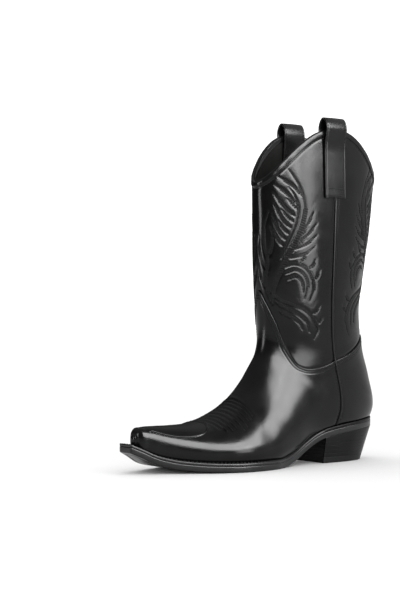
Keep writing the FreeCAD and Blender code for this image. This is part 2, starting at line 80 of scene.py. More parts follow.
# Side views (y, z): feather line, scalloped top line, upper edge of vamp and counter; side seam (z, y).
FEATHER = [(-285, 41.5), (-259, 30), (-248, 25), (-234, 18), (-219, 13.7), (-202, 11.2),
           (-185, 9.9), (-165, 9.2), (-138, 9), (-118, 9), (-103, 9.1), (-89, 11),
           (-77, 15.3), (-63, 22.6), (-45, 31.6), (-33, 35.8), (-17, 38.6), (5, 41.4),
           (26, 43.6), (75, 48.5)]
RIM = [(-125, 271), (-106, 290.5), (-92, 306), (-74, 325), (-54, 340), (-36, 345.6),
       (-27, 346.2), (-16, 345.6), (2, 339), (20, 326.5), (38, 309.5), (52, 296), (75, 273)]
VAMP_TOP = [(-125, 260), (-103.6, 187), (-101.2, 174), (-97.2, 160), (-90.8, 142), (-82.5, 119),
            (-75, 105), (-66, 99.5), (-55, 98.8), (-42, 101.2), (-27, 106.5), (-10, 112),
            (12, 122.5), (33, 136), (75, 160)]
SEAM = [(0, -23), (38, -20.5), (60, -18), (76, -19.5), (98, -25), (124, -29.5),
        (170, -32.5), (230, -31), (285, -28), (380, -26.5)]
# Sole plan: y, inner x, outer x.
SOLE_PLAN = [(-259, -23.5, -3.5), (-240, -31, 4.3), (-212, -41.8, 21), (-184, -50.7, 37.4),
             (-160, -53.2, 46.2), (-138, -50.6, 48), (-115, -45.2, 44.8), (-93, -35.6, 36.2),
             (-72, -29.6, 30.4), (-50, -27.8, 28), (-25, -28.6, 28.8), (0, -28.5, 28.7),
             (18, -26.4, 26.4), (34, -20.4, 20.4), (45, -10.4, 10.4)]
SOLE_BACK_Y = 49.0
RAND_Y = -36.0

UPPER_LEATHER = 1.8
WALL = 3.4                  # outer leather and lining together
WELT = 3.0
OUTSOLE = 6.0
STRAP_Y = -30.0
STRAP_WIDTH = 28.0
STRAP_THICK = 2.2
STRAP_TOP = 359.5
STRAP_BOTTOM = 276.0


# ---- curves
def smooth_line(points):
    """Smooth function through (x, value) points: cubic pieces with slopes from both neighbours."""
    x = np.array([p[0] for p in points], float)
    f = np.array([p[1] for p in points], float)
    h = np.diff(x)
    d = np.diff(f) / h
    m = np.empty_like(f)
    m[1:-1] = (d[:-1] * h[1:] + d[1:] * h[:-1]) / (h[:-1] + h[1:])
    m[0], m[-1] = d[0], d[-1]

    def value(q):
        q = np.clip(np.asarray(q, float), x[0], x[-1])
        i = np.clip(np.searchsorted(x, q, side="right") - 1, 0, len(x) - 2)
        t = (q - x[i]) / h[i]
        return ((2 * t ** 3 - 3 * t ** 2 + 1) * f[i] + (t ** 3 - 2 * t ** 2 + t) * h[i] * m[i]
                + (3 * t ** 2 - 2 * t ** 3) * f[i + 1] + (t ** 3 - t ** 2) * h[i] * m[i + 1])

    return value


feather_z = smooth_line(FEATHER)
rim_z = smooth_line(RIM)
vamp_z = smooth_line(VAMP_TOP)
seam_y = smooth_line(SEAM)


def smoothstep(low, high, q):
    t = np.clip((q - low) / (high - low), 0.0, 1.0)
    return t * t * (3 - 2 * t)


def spline_through(points, count):
    """Evenly spaced points on a Catmull-Rom curve through the given points."""
    p = np.array(points, float)
    p = np.vstack([2 * p[0] - p[1], p, 2 * p[-1] - p[-2]])
    dense = []
    t = np.linspace(0, 1, 24, endpoint=False)[:, None]
    for i in range(1, len(p) - 2):
        a, b, c, d = p[i - 1], p[i], p[i + 1], p[i + 2]
        dense.append(0.5 * (2 * b + (c - a) * t + (2 * a - 5 * b + 4 * c - d) * t ** 2
                            + (3 * b - a - 3 * c + d) * t ** 3))
    dense.append(p[-2][None])
    return resample(np.vstack(dense), count)


def arc_length(points):
    return np.concatenate([[0.0], np.cumsum(np.linalg.norm(np.diff(points, axis=0), axis=1))])


def values_at(q, s, rows):
    """Rows of a table at the distances q, where s holds the distance of each row."""
    return np.stack([np.interp(q, s, rows[:, k]) for k in range(rows.shape[1])], -1)


def resample(points, count):
    s = arc_length(points)
    return values_at(np.linspace(0, s[-1], count), s, points)


def unit(rows):
    return rows / np.maximum(np.linalg.norm(rows, axis=-1, keepdims=True), 1e-9)


def spaced(length, pitch, phase=0.5):
    """Distances of evenly spaced things along a line, about one pitch apart."""
    count = int(length / pitch)
    return (np.arange(count) + phase) * length / count


def halve(field, low, high):
    """Where field crosses zero, for arrays of bounds: it is negative at low and positive at high."""
    for _ in range(36):
        middle = 0.5 * (low + high)
        below = field(middle) < 0
        low = np.where(below, middle, low)
        high = np.where(below, high, middle)
    return 0.5 * (low + high)


# ---- the last
_mid = np.stack([(STATIONS[:, 0] + STATIONS[:, 2]) / 2, (STATIONS[:, 1] + STATIONS[:, 3]) / 2], 1)
KNOTS = arc_length(_mid)
STATION_AT = [smooth_line(list(zip(KNOTS, STATIONS[:, k]))) for k in range(10)]
# u of the rings at the instep, the heel, the foot of the shaft (150 mm high), 190 mm high and the top.
U_INSTEP, U_HEEL, U_SHAFT, U_190, U_TOP = (float(KNOTS[k]) for k in (10, 11, 17, 18, -1))
SHAFT_Z = 150.0
TOE_CAP = 3.0               # rounding of the toe tip, ahead of the first ring, as u below zero
TOE_REACH = 2.4             # how far that rounding reaches forward, in mm


def last_point(u, v):
    """Point of the outer face: u along the last in mm, v round it, 0 on the ridge, pi underneath."""
    u = np.asarray(u, float)
    v = np.asarray(v, float)
    ring = [f(np.maximum(u, 0.0)) for f in STATION_AT]
    fy, fz, by, bz, w_out, w_in, xc, widest, n_front, n_back = ring
    c, s = np.cos(v), np.sin(v)
    power = 2.0 / np.where(c > 0, n_front, n_back)
    along = np.sign(c) * np.abs(c) ** power
    across = np.sign(s) * np.abs(s) ** power
    t = np.where(along > 0, widest - widest * along, widest - (1 - widest) * along)
    x = xc + np.where(s > 0, w_out, w_in) * across
    y = fy + (by - fy) * t
    z = fz + (bz - fz) * t
    cap = np.clip(-u / TOE_CAP, 0.0, 1.0) * math.pi / 2
    shrink = np.where(u < 0, np.cos(cap), 1.0)
    x = xc + (x - xc) * shrink
    z = (fz + bz) / 2 + (z - (fz + bz) / 2) * shrink
    y = y - np.where(u < 0, TOE_REACH * np.sin(cap), 0.0)
    return np.stack([x, y, z], -1)


def last_frame(u, v):
    """Position, outward normal and the two parameter directions of the outer face."""
    eu, ev = 0.5, 0.008
    pu = (last_point(u + eu, v) - last_point(u - eu, v)) / (2 * eu)
    pv = (last_point(u, v + ev) - last_point(u, v - ev)) / (2 * ev)
    return last_point(u, v), unit(np.cross(pv, pu)), pu, pv


GRID_U = np.concatenate([np.linspace(-TOE_CAP, 0, 7)[:-1], np.linspace(0, U_TOP, 600)])
GRID_V = np.linspace(-math.pi, math.pi, 449)[:-1]
_grid = last_point(GRID_U[:, None], GRID_V[None, :])
_step = np.linalg.norm(np.diff(np.concatenate([_grid, _grid[:, :1]], 1), axis=1), axis=2)
_zero = int(np.argmin(np.abs(GRID_V)))
ARC = np.concatenate([np.zeros((len(GRID_U), 1)), np.cumsum(_step, axis=1)], 1)
ARC = ARC - ARC[:, _zero:_zero + 1]     # distance round each ring from the ridge, outer side positive
ARC_V = np.concatenate([GRID_V, [math.pi]])


def girth_half(u):
    return np.interp(u, GRID_U, ARC[:, -1])


def shaft_u(height):
    return U_SHAFT + (height - SHAFT_Z)


def shaft_uv(arc, height):
    """(u, v) of points on the shaft, given their distance round from the ridge and their height."""
    u = shaft_u(height)
    row = np.clip(np.searchsorted(GRID_U, u), 0, len(GRID_U) - 1)
    return np.stack([u, [np.interp(a, ARC[i], ARC_V) for a, i in zip(arc, row)]], 1)


def offset_uv(uv, distance):
    """Line moved sideways over the surface; distance is positive to the left of its direction."""
    p, n, pu, pv = last_frame(*uv.T)
    move = unit(np.cross(n, np.gradient(p, axis=0))) * np.reshape(distance, (-1, 1))
    guu, guv, gvv = (pu * pu).sum(1), (pu * pv).sum(1), (pv * pv).sum(1)
    bu, bv = (move * pu).sum(1), (move * pv).sum(1)
    det = guu * gvv - guv ** 2
    out = uv.copy()
    out[:, 0] += (bu * gvv - bv * guv) / det
    out[:, 1] += (bv * guu - bu * guv) / det
    return out


def root_in_u(field, v, low, high):
    """u where field(point) crosses zero for each v; field is negative at low and positive at high."""
    return halve(lambda u: field(last_point(u, v)), np.full(len(v), low), np.full(len(v), high))


# ---- lines on the upper
def above_vamp(p):
    return p[..., 2] - vamp_z(p[..., 1])


def above_rim(p):
    return p[..., 2] - rim_z(p[..., 1])


def above_feather(p):
    return p[..., 2] - feather_z(p[..., 1])


def behind_seam(p):
    return p[..., 1] - seam_y(p[..., 2])


_v_ring = np.linspace(-math.pi, math.pi, 721)
RIM_UV = np.stack([root_in_u(above_rim, _v_ring, U_SHAFT, U_TOP), _v_ring], 1)
VAMP_UV = np.stack([root_in_u(above_vamp, _v_ring, U_INSTEP - 14, U_190 + 10), _v_ring], 1)


def seam_line(side, z_low, z_high, count=420):
    """The side seam as (u, v) points from z_low to z_high, on the outer (+1) or inner (-1) side."""
    table_u = np.linspace(U_HEEL + 6, U_TOP, 700)
    v = side * halve(lambda v: behind_seam(last_point(table_u, side * v)),
                     np.full(len(table_u), 0.15), np.full(len(table_u), math.pi - 0.02))
    p = last_point(table_u, v)
    keep = (p[:, 2] > z_low) & (p[:, 2] < z_high) & (np.abs(behind_seam(p)) < 0.5)
    return resample(np.stack([table_u, v], 1)[keep], count)


# ---- decoration
# Flame stitching of a plain western kind: each band is a curve of (distance round from the ridge,
# height) with the half width of its stitched ground.  It is mirrored about the front and back ridges.
FLAMES = [
    (2.4, [(16, 168), (20, 187), (30, 207), (41, 227), (50, 247), (54, 266), (49, 284), (41, 297),
           (35, 305)]),
    (1.5, [(27, 213), (35, 230), (43, 247), (46, 263), (42, 277), (36, 286)]),
    (1.6, [(50, 277), (43, 285), (34, 291), (23, 298)]),
    (1.5, [(45, 268), (38, 275), (30, 282), (21, 288)]),
    (1.5, [(42, 256), (34, 262), (27, 270), (20, 279)]),
    (1.4, [(37, 244), (30, 251), (25, 259), (20, 269)]),
    (1.4, [(31, 232), (25, 240), (21, 249), (18, 258)]),
    (1.5, [(47, 240), (53, 245), (59, 252), (64, 261)]),
    (1.5, [(43, 231), (51, 234), (59, 240), (67, 249)]),
    (1.5, [(38, 222), (48, 225), (57, 229), (67, 237)]),
    (1.5, [(33, 213), (44, 215), (54, 218), (64, 225)]),
    (2.0, [(28, 203), (39, 207), (51, 204), (60, 194), (62, 182), (56, 170)]),
    (1.6, [(31, 197), (41, 201), (51, 196), (55, 185), (50, 172)]),
    (1.5, [(33, 191), (41, 194), (48, 189), (49, 178)]),
    (1.4, [(46, 208), (51, 213), (53, 219)]),
    (1.7, [(14, 170), (10, 190), (13, 209), (9, 227), (10, 244), (15, 260)]),
    (1.4, [(12, 200), (6, 211), (3, 223), (4, 236)]),
    (1.4, [(11, 182), (5, 191), (2, 203)]),
    (1.4, [(12, 212), (17, 222), (18, 234), (16, 244)]),
    (1.3, [(46, 262), (40, 268), (34, 274)]),
    (1.3, [(40, 250), (34, 256), (28, 263)]),
    (1.3, [(34, 238), (29, 244), (25, 251)]),
    (1.3, [(28, 226), (23, 233), (20, 241)]),
    (1.3, [(45, 235), (51, 239), (57, 245)]),
    (1.3, [(40, 226), (48, 229), (55, 233)]),
    (1.4, [(57, 202), (62, 206), (65, 212)]),
    (1.4, [(61, 190), (66, 194), (70, 201)]),
    (1.3, [(57, 156), (63, 159), (68, 165)]),
    (1.3, [(63, 145), (67, 148), (71, 153)]),
    (2.2, [(14, 180), (24, 172), (36, 167), (49, 161), (59, 151), (64, 139), (60, 125)]),
    (1.6, [(18, 171), (30, 163), (42, 156), (51, 146), (54, 133)]),
    (1.5, [(22, 161), (33, 154), (42, 146), (46, 135)]),
]
FLAME_POINTS = 90           # along each band
BACK_SCALE = 0.86           # the back panel's flames are narrower and
BACK_SHIFT = 1.5            # start a little off the ridge,
BACK_RAISE = 12.0           # higher up
STITCH_ROW = 1.1            # between the rows of a band
FLAME_PUFF = 0.20
FLAME_SINK = 0.14


def flame_bands():
    """Every flame as (u, v) points with its half width, tapered to both ends."""
    bands = []
    for half_width, points in FLAMES:
        arc, height = spline_through(points, FLAME_POINTS).T
        ends = np.minimum(np.linspace(0.4, 6.0, FLAME_POINTS), np.linspace(3.0, 0.1, FLAME_POINTS))
        taper = half_width * np.minimum(1.0, ends)
        raised = height + BACK_RAISE
        for side in (-1, 1):
            bands.append((shaft_uv(side * arc, height), taper))
            back_arc = side * (girth_half(shaft_u(raised)) - BACK_SCALE * arc - BACK_SHIFT)
            bands.append((shaft_uv(back_arc, raised), taper))
    return bands


FLAME_BANDS = flame_bands()
WRINKLE_U = [78.0 + 5.2 * k for k in range(9)]
TOE_LINE = [(14, 0.72), (26, 0.92), (42, 0.98), (58, 0.86), (68, 0.62), (74, 0.34),
            (73, 0)]


def mirror_line(points):
    return points + [(u, -v) for u, v in points[::-1][1:]]


TOE_UV = spline_through(mirror_line(TOE_LINE), 260)
TOE_ROWS = [offset_uv(TOE_UV, d) for d in (-1.1, 1.1)]


def wrinkle_uv(u, index):
    reach = 0.98 - 0.05 * abs(index - 4) - 0.07 * (index % 3 == 0)
    v = np.linspace(-reach, reach, 120)
    return np.stack([u + 2.5 * np.abs(v) ** 1.5 + 0.35 * np.sin(3 * v + index), v], 1)


WRINKLES = [wrinkle_uv(u, k) for k, u in enumerate(WRINKLE_U)]


class Near:
    """Distance from any point of the upper to the nearest of a set of (u, v) lines."""

    def __init__(self, lines):
        p = np.vstack([last_point(*line.T) for line in lines])
        self.tree = KDTree(len(p))
        for i, q in enumerate(p):
            self.tree.insert(q, i)
        self.tree.balance()

    def query(self, points):
        found = [self.tree.find(q) for q in points]
        return np.array([f[2] for f in found]), np.array([f[1] for f in found], int)


VAMP_ROWS = [offset_uv(VAMP_UV, -d) for d in (1.9, 4.3)]
SEAM_ROWS = [offset_uv(seam_line(side, 44, 341), d) for side in (-1, 1) for d in (-3.0, 3.0)]
RIM_ROW = offset_uv(RIM_UV, -6.2)
_near_rows = Near(VAMP_ROWS + SEAM_ROWS + [RIM_ROW])
_near_flames = Near([b[0] for b in FLAME_BANDS])
_flame_half = np.concatenate([b[1] for b in FLAME_BANDS])
_near_wrinkles = Near(WRINKLES)
_near_toe = Near(TOE_ROWS)
_near_toe_mid = Near([TOE_UV])


def ripple(p, seed, scale):
    """Slow, even unevenness of worked leather, in -1..1, the same on every run."""
    rng = np.random.default_rng(seed)
    total = np.zeros(len(p))
    for _ in range(7):
        k = rng.normal(size=3) * 2 * math.pi / scale
        total += np.sin(p @ k + rng.uniform(0, 2 * math.pi))
    return total / 7


LAP_FADE = 16.0             # how far below its edge the vamp still stands off over the shaft panels


def bell(distance, height, width):
    return height * np.exp(-(distance / width) ** 2)


def leather_height(uv, base, part):
    """How far the finished leather stands off the last's surface."""
    h = 0.10 * ripple(base, 5, 46.0) - bell(_near_rows.query(base)[0], 0.30, 0.75)
    if part in ("vamp", "counter"):
        h = h + 0.12 + np.exp(-np.maximum(-above_vamp(base), 0) / LAP_FADE)
        h = h - bell(above_feather(base), 0.35, 1.6)
    if part == "vamp":
        u, v = uv.T
        patch = smoothstep(1.2, 0.7, np.abs(v)) * smoothstep(WRINKLE_U[0] - 5, WRINKLE_U[0], u)
        patch = patch * smoothstep(WRINKLE_U[-1] + 8, WRINKLE_U[-1] + 3, u)
        h = h + patch * (0.8 * (1 - bell(_near_wrinkles.query(base)[0], 1, 1.3)) - 0.25)
        h = h - bell(_near_toe.query(base)[0], 0.28, 0.6)
        h = h + bell(_near_toe_mid.query(base)[0], 0.95, 1.0)
    if part in ("front_shaft", "back_shaft"):
        d, index = _near_flames.query(base)
        half = _flame_half[index]
        inside = smoothstep(half + 1.0, half - 0.4, d)
        beyond = np.maximum(d - half, 0)
        puff = FLAME_PUFF * (1 - np.exp(-beyond / 2.6)) * bell(beyond, 1, 8.0)
        h = h + puff * (1 - inside) - FLAME_SINK * inside
        h = h - bell(np.maximum(above_vamp(base), 0), 0.5, 2.0)
    return h - bell(behind_seam(base), 0.45, 1.6)


# ---- meshes
def add_object(name, data):
    made = bpy.data.objects.new(name, data)
    bpy.context.scene.collection.objects.link(made)
    return made


def add_mesh(name, vertices_mm, faces, material, angle=None):
    mesh = bpy.data.meshes.new(name)
    mesh.from_pydata(np.asarray(vertices_mm) * MM, [], faces)
    mesh.validate()
    mesh.polygons.foreach_set("use_smooth", np.full(len(mesh.polygons), True))
    if angle is not None:
        mesh.set_sharp_from_angle(angle=math.radians(angle))
    mesh.materials.append(material)
    return add_object(name, mesh)


def clip_faces(uv, faces, field):
    """Keeps the part of a mesh where field is not negative, cutting faces along its zero line."""
    value = field(last_point(*uv.T))
    extra = []
    cut = {}
    kept = []

    def crossing(i, j):
        key = (min(i, j), max(i, j))
        if key not in cut:
            a, b = uv[key[0]], uv[key[1]].copy()
            if b[1] - a[1] > math.pi:
                b[1] -= 2 * math.pi
            elif a[1] - b[1] > math.pi:
                b[1] += 2 * math.pi
            t = value[key[0]] / (value[key[0]] - value[key[1]])
            cut[key] = len(uv) + len(extra)
            extra.append(a + (b - a) * t)
        return cut[key]

    for face in faces:
        signs = [value[i] >= 0 for i in face]
        if all(signs):
            kept.append(face)
        elif any(signs):
            out = []
            for k, i in enumerate(face):
                j = face[(k + 1) % len(face)]
                if value[i] >= 0:
                    out.append(i)
                if (value[i] >= 0) != (value[j] >= 0):
                    out.append(crossing(i, j))
            if len(out) > 2:
                kept.append(tuple(out))
    if extra:
        uv = np.vstack([uv, np.array(extra)])
    used = np.zeros(len(uv), bool)
    used[np.concatenate([np.array(f) for f in kept])] = True
    index = np.cumsum(used) - 1
    return uv[used], [tuple(index[list(f)]) for f in kept]


def panel(name, material, fields, u_range):
    """One panel of worked leather: the part of the last where every field is positive."""
    rows = np.where((GRID_U >= u_range[0]) & (GRID_U <= u_range[1]))[0]
    nv = len(GRID_V)
    uu, vv = np.meshgrid(GRID_U[rows], GRID_V, indexing="ij")
    uv = np.stack([uu.ravel(), vv.ravel()], 1)
    i, j = np.meshgrid(np.arange(len(rows) - 1), np.arange(nv), indexing="ij")
    a = (i * nv + j).ravel()
    b = (i * nv + (j + 1) % nv).ravel()
    quads = np.stack([a, b, b + nv, a + nv], 1)
    centre = last_point(uv[quads, 0].mean(1), uv[a, 1] + 0.007)
    worst = np.min([field(centre) for field in fields], axis=0)
    faces = [tuple(q) for q in quads[worst > -3.0]]
    for field in fields:
        uv, faces = clip_faces(uv, faces, field)
    base, normal, _, _ = last_frame(*uv.T)
    height = leather_height(uv, base, name)
    piece = add_mesh(name, base + normal * height[:, None], faces, material)
    solid = piece.modifiers.new("thickness", "SOLIDIFY")
    solid.thickness = UPPER_LEATHER * MM
    solid.offset = -1.0
    solid.use_rim = True
    return piece


def sweep(name, rings, material, closed=False, caps=False, angle=None):
    """Skin over a list of rings with the same number of points."""
    n, m = len(rings), len(rings[0])
    vertices = np.vstack(rings)
    faces = []
    for i in range(n if closed else n - 1):
        k = (i + 1) % n
        for j in range(m):
            w = (j + 1) % m
            faces.append((i * m + j, k * m + j, k * m + w, i * m + w))
    if caps and not closed:
        faces.append(tuple(range(m)))
        faces.append(tuple(range((n - 1) * m, n * m))[::-1])
    piece = add_mesh(name, vertices, faces, material, angle)
    fix_normals(piece)
    return piece


def fix_normals(piece):
    b = bmesh.new()
    b.from_mesh(piece.data)
    bmesh.ops.recalc_face_normals(b, faces=b.faces)
    b.to_mesh(piece.data)
    b.free()


# One stitch, end to end: place along its length, thickness and lift, in parts of its length and radius.
THREAD_PROFILE = [(-0.5, 0.35, -0.55), (-0.36, 0.95, 0.15), (0.0, 1.0, 0.42), (0.36, 0.95, 0.15),
                  (0.5, 0.35, -0.55)]


def thread_capsules(name, centres, along, normal, length, radius, material, sides=6):
    """Many short stitches at once: each a thread that rises from its hole and dives into the next."""
    across = unit(np.cross(normal, along))
    rings = []
    for s, r, lift in THREAD_PROFILE:
        for a in np.arange(sides) * 2 * math.pi / sides:
            rings.append(centres + along * (s * length) + normal * (radius * (lift + r * math.sin(a)))
                         + across * (radius * r * math.cos(a)))
    count, per = len(centres), len(rings)
    vertices = np.stack(rings, 1).reshape(count * per, 3)
    local = []
    for i in range(len(THREAD_PROFILE) - 1):
        for j in range(sides):
            k = (j + 1) % sides
            local.append((i * sides + j, i * sides + k, (i + 1) * sides + k, (i + 1) * sides + j))
    faces = (np.array(local)[None] + (np.arange(count) * per)[:, None, None]).reshape(-1, 4)
    return add_mesh(name, vertices, [tuple(f) for f in faces], material)


def stitch_row(uv, pitch, height, phase=0.5):
    """Centres, directions and normals of stitches along a line on the upper."""
    p, n, _, _ = last_frame(*uv.T)
    p = p + n * np.reshape(height, (-1, 1))
    s = arc_length(p)
    q = spaced(s[-1], pitch, phase)
    t = unit(values_at(q + 0.6, s, p) - values_at(q - 0.6, s, p))
    m = values_at(q, s, n)
    return values_at(q, s, p), t, unit(m - t * (m * t).sum(1, keepdims=True))


# ---- materials
def node_material(name):
    material = bpy.data.materials.new(name)
    material.use_nodes = True
    tree = material.node_tree
    shader = tree.nodes["Principled BSDF"]
    where = tree.nodes.new("ShaderNodeTexCoord")
    return material, tree, shader, where.outputs["Object"]


def add_node(tree, kind, values, sources):
    """New node with the given values on its sockets and sources linked to its inputs."""
    node = tree.nodes.new(kind)
    for socket, value in values.items():
        node.inputs[socket].default_value = value
    for socket, source in sources.items():
        tree.links.new(source, node.inputs[socket])
    return node


def noise(tree, where, scale, detail=4.0):
    values = {"Scale": scale, "Detail": detail, "Roughness": 0.55}
    return add_node(tree, "ShaderNodeTexNoise", values, {"Vector": where}).outputs["Fac"]


def cells(tree, where, scale):
    values = {"Scale": scale, "Randomness": 1.0}
    return add_node(tree, "ShaderNodeTexVoronoi", values, {"Vector": where}).outputs["Distance"]


def ramp(tree, source, low, high):
    """Maps a 0..1 pattern to a range between two values."""
    values = {"From Min": 0.3, "From Max": 0.7, "To Min": low, "To Max": high}
    return add_node(tree, "ShaderNodeMapRange", values, {"Value": source}).outputs["Result"]


def tint(tree, source, dark, light):
    node = add_node(tree, "ShaderNodeValToRGB", {}, {"Fac": source})
    for stop, position, color in zip(node.color_ramp.elements, (0.32, 0.68), (dark, light)):
        stop.position = position
        stop.color = (*color, 1)
    return node.outputs["Color"]


def bump(tree, shader, patterns):
    """Adds several height patterns, each (source, distance in metres), one over the other."""
    below = {}
    for source, distance in patterns:
        values = {"Strength": 1.0, "Distance": distance}
        node = add_node(tree, "ShaderNodeBump", values, {"Height": source, **below})
        below = {"Normal": node.outputs["Normal"]}
    tree.links.new(below["Normal"], shader.inputs["Normal"])


def streaks(tree, where, pitch):
    """Noise drawn out level, which reads as layers."""
    squeeze = add_node(tree, "ShaderNodeMapping", {"Scale": (0.04, 0.04, 1.0)}, {"Vector": where})
    return noise(tree, squeeze.outputs["Vector"], 1.0 / pitch, 3.0)


def surface(name, shade, colors, polish, rough, heights, specular=0.5, metallic=0.0):
    """Principled material; shade, polish and the heights give their patterns as (maker, scale, ...)."""
    material, tree, shader, where = node_material(name)

    def pattern(maker, *settings):
        return maker(tree, where, *settings)

    tree.links.new(tint(tree, pattern(*shade), *colors), shader.inputs["Base Color"])
    tree.links.new(ramp(tree, pattern(*polish), *rough), shader.inputs["Roughness"])
    shader.inputs["Specular IOR Level"].default_value = specular
    shader.inputs["Metallic"].default_value = metallic
    bump(tree, shader, [(pattern(*made), distance) for made, distance in heights])
    return material


def leather(name, dark, light, rough, specular=0.18, grain=900.0, relief=3e-5):
    """Finished leather: fine pores, faint creases, uneven polish."""
    heights = [((noise, 42.0, 3.0), 8e-5), ((cells, grain), relief),
               ((noise, grain * 1.7, 2.0), relief * 0.5)]
    return surface(name, (noise, 26.0), (dark, light), (noise, 60.0, 5.0), rough, heights, specular)


def stacked(name, dark, light, rough, pitch, relief, specular=0.25):
    """Stacked or cut leather edge with faint layer lines in height."""
    heights = [((streaks, pitch), relief), ((noise, 1400.0, 2.0), relief * 0.4)]
    return surface(name, (streaks, pitch), (dark, light), (noise, 70.0), rough, heights, specular)


def metal(name, color, rough, scale):
    return surface(name, (noise, scale), (tuple(0.8 * c for c in color), color), (noise, scale * 3),
                   (rough * 0.8, rough * 1.3), [((noise, scale * 8, 2.0), 2e-5)], metallic=1.0)


def fibrous(name, dark, light, scale, relief, rough=(0.75, 0.92), specular=0.4):
    """Matt stuff such as cork, fibre board, wood or rubber."""
    heights = [((cells, scale), relief), ((noise, scale * 4), relief * 0.5)]
    return surface(name, (cells, scale), (dark, light), (noise, scale * 2), rough, heights, specular)


def ink(value, blue):
    """Near-black, given as ten-thousandths for red and green, and for blue."""
    return value / 10000, value / 10000, blue / 10000


UPPER = leather("upper_leather", ink(6, 6), ink(13, 14), (0.15, 0.25))
SHAFT = leather("shaft_leather", ink(6, 6), ink(14, 15), (0.14, 0.19))
STRAP = leather("strap_leather", ink(10, 10), ink(21, 22), (0.19, 0.26), grain=700.0, relief=4e-5)
BINDING = leather("binding_leather", ink(10, 10), ink(21, 22), (0.16, 0.22), grain=800.0,
                  relief=4e-5)
LINING = leather("lining_leather", (0.0018, 0.0017, 0.0016), (0.0036, 0.0034, 0.0032), (0.5, 0.66),
                 specular=0.05, grain=600.0, relief=6e-5)
SOCK = leather("sock_leather", (0.016, 0.0145, 0.013), (0.028, 0.026, 0.024), (0.55, 0.7),
               specular=0.08, grain=500.0)
WELT_LEATHER = stacked("welt_leather", ink(20, 21), ink(42, 44), (0.26, 0.36), 0.0010, 4e-5)
SOLE_EDGE = stacked("sole_leather", ink(22, 23), ink(46, 48), (0.26, 0.35), 0.0016, 2e-5)
HEEL = stacked("heel_leather", ink(8, 8), ink(14, 15), (0.27, 0.35), 0.0016, 4e-6, specular=0.11)
RUBBER = fibrous("top_lift_rubber", ink(10, 10), ink(22, 22), 1500.0, 3e-5, (0.36, 0.46),
                 specular=0.12)
THREAD = surface("black_thread", (noise, 2400.0, 2.0), (ink(8, 8), ink(24, 25)), (noise, 1500.0, 2.0),
                 (0.5, 0.72), [((noise, 3600.0, 2.0), 5e-5)], specular=0.12)
CORK = fibrous("cork", (0.22, 0.12, 0.06), (0.52, 0.35, 0.2), 700.0, 0.0003)
BOARD = fibrous("fibre_board", (0.24, 0.18, 0.12), (0.36, 0.29, 0.21), 1200.0, 0.0001)
INSOLE = leather("insole_leather", (0.30, 0.19, 0.11), (0.42, 0.30, 0.19), (0.6, 0.75), grain=500.0)
PEG = fibrous("peg_wood", (0.42, 0.29, 0.16), (0.60, 0.45, 0.28), 1600.0, 0.0001)
STEEL = metal("shank_steel", (0.45, 0.45, 0.46), 0.35, 300.0)
BRASS = metal("nail_brass", (0.66, 0.50, 0.26), 0.3, 500.0)


# ---- upper panels
def fit(piece, node):
    """Puts a piece in the place of a CAD node, on the body that stays still."""
    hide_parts(node)
    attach(piece, "root")


def under_vamp(p):
    return -above_vamp(p)


def under_rim(p):
    return -above_rim(p)


def before_seam(p):
    return -behind_seam(p)


def shaft_low(p):
    """The shaft panels run on under the vamp's edge."""
    return above_vamp(p) + 7.0


ON_FOOT = (-TOE_CAP, U_190 + 12)
ON_SHAFT = (U_HEEL, U_TOP)
for node, material, slot, fields, u_range in (
        ("vamp", UPPER, "upper_leather", (above_feather, under_vamp, before_seam), ON_FOOT),
        ("counter", UPPER, "upper_leather", (above_feather, under_vamp, behind_seam), ON_FOOT),
        ("front_shaft", SHAFT, "shaft_leather", (shaft_low, under_rim, before_seam), ON_SHAFT),
        ("back_shaft", SHAFT, "shaft_leather", (shaft_low, under_rim, behind_seam), ON_SHAFT)):
    piece = panel(node, material, fields, u_range)
    piece.name = node + "_leather"
    fit(piece, node)


# ---- threads on the upper
def surface_height(uv):
    """Height of the finished leather under a line of stitches, whichever panel it runs on."""
    base = last_point(*uv.T)
    on_foot = leather_height(uv, base, "counter")
    on_shaft = leather_height(uv, base, "front_shaft")
    return np.where(above_vamp(base) > 0, on_shaft, on_foot)


def add_threads(name, rows, length, radius):
    """Piece made of stitches, given as (centres, directions, normals) for each row."""
    piece = thread_capsules(name, *[np.vstack(part) for part in zip(*rows)], length, radius, THREAD)
    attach(piece, "root")


def flame_rows():
    rows = []
    for line, half in FLAME_BANDS:
        for k in (-2, -1, 0, 1, 2):
            uv = offset_uv(line, np.full(len(line), k * STITCH_ROW))
            centres, along, normal = stitch_row(uv, 2.45, 0.12 - FLAME_SINK, 0.5 + 0.25 * (k % 2))
            limit = np.interp(np.linspace(0, 1, len(centres)), np.linspace(0, 1, len(half)), half)
            keep = limit > abs(k) * STITCH_ROW + 0.15
            keep &= (above_vamp(centres) > 2.0) & (above_rim(centres) < -8.0)
            rows.append((centres[keep], along[keep], normal[keep]))
    return rows


# Name, lines, pitch and lift over the leather, length and radius of a stitch.
for name, lines, pitch, lift, length, radius in (
        ("vamp_edge_stitching", VAMP_ROWS, 3.0, 0.12, 2.5, 0.36),
        ("side_seam_stitching", SEAM_ROWS, 3.2, 0.10, 2.6, 0.30),
        ("top_line_stitching", [RIM_ROW], 3.0, 0.12, 2.5, 0.32)):
    add_threads(name, [stitch_row(r, pitch, surface_height(r) + lift) for r in lines], length, radius)
add_threads("flame_stitching", flame_rows(), 2.3, 0.46)
add_threads("vamp_wrinkle_stitching",
            [stitch_row(r, 2.8, leather_height(r, last_point(*r.T), "vamp") + 0.10)
             for r in WRINKLES + TOE_ROWS], 2.4, 0.28)


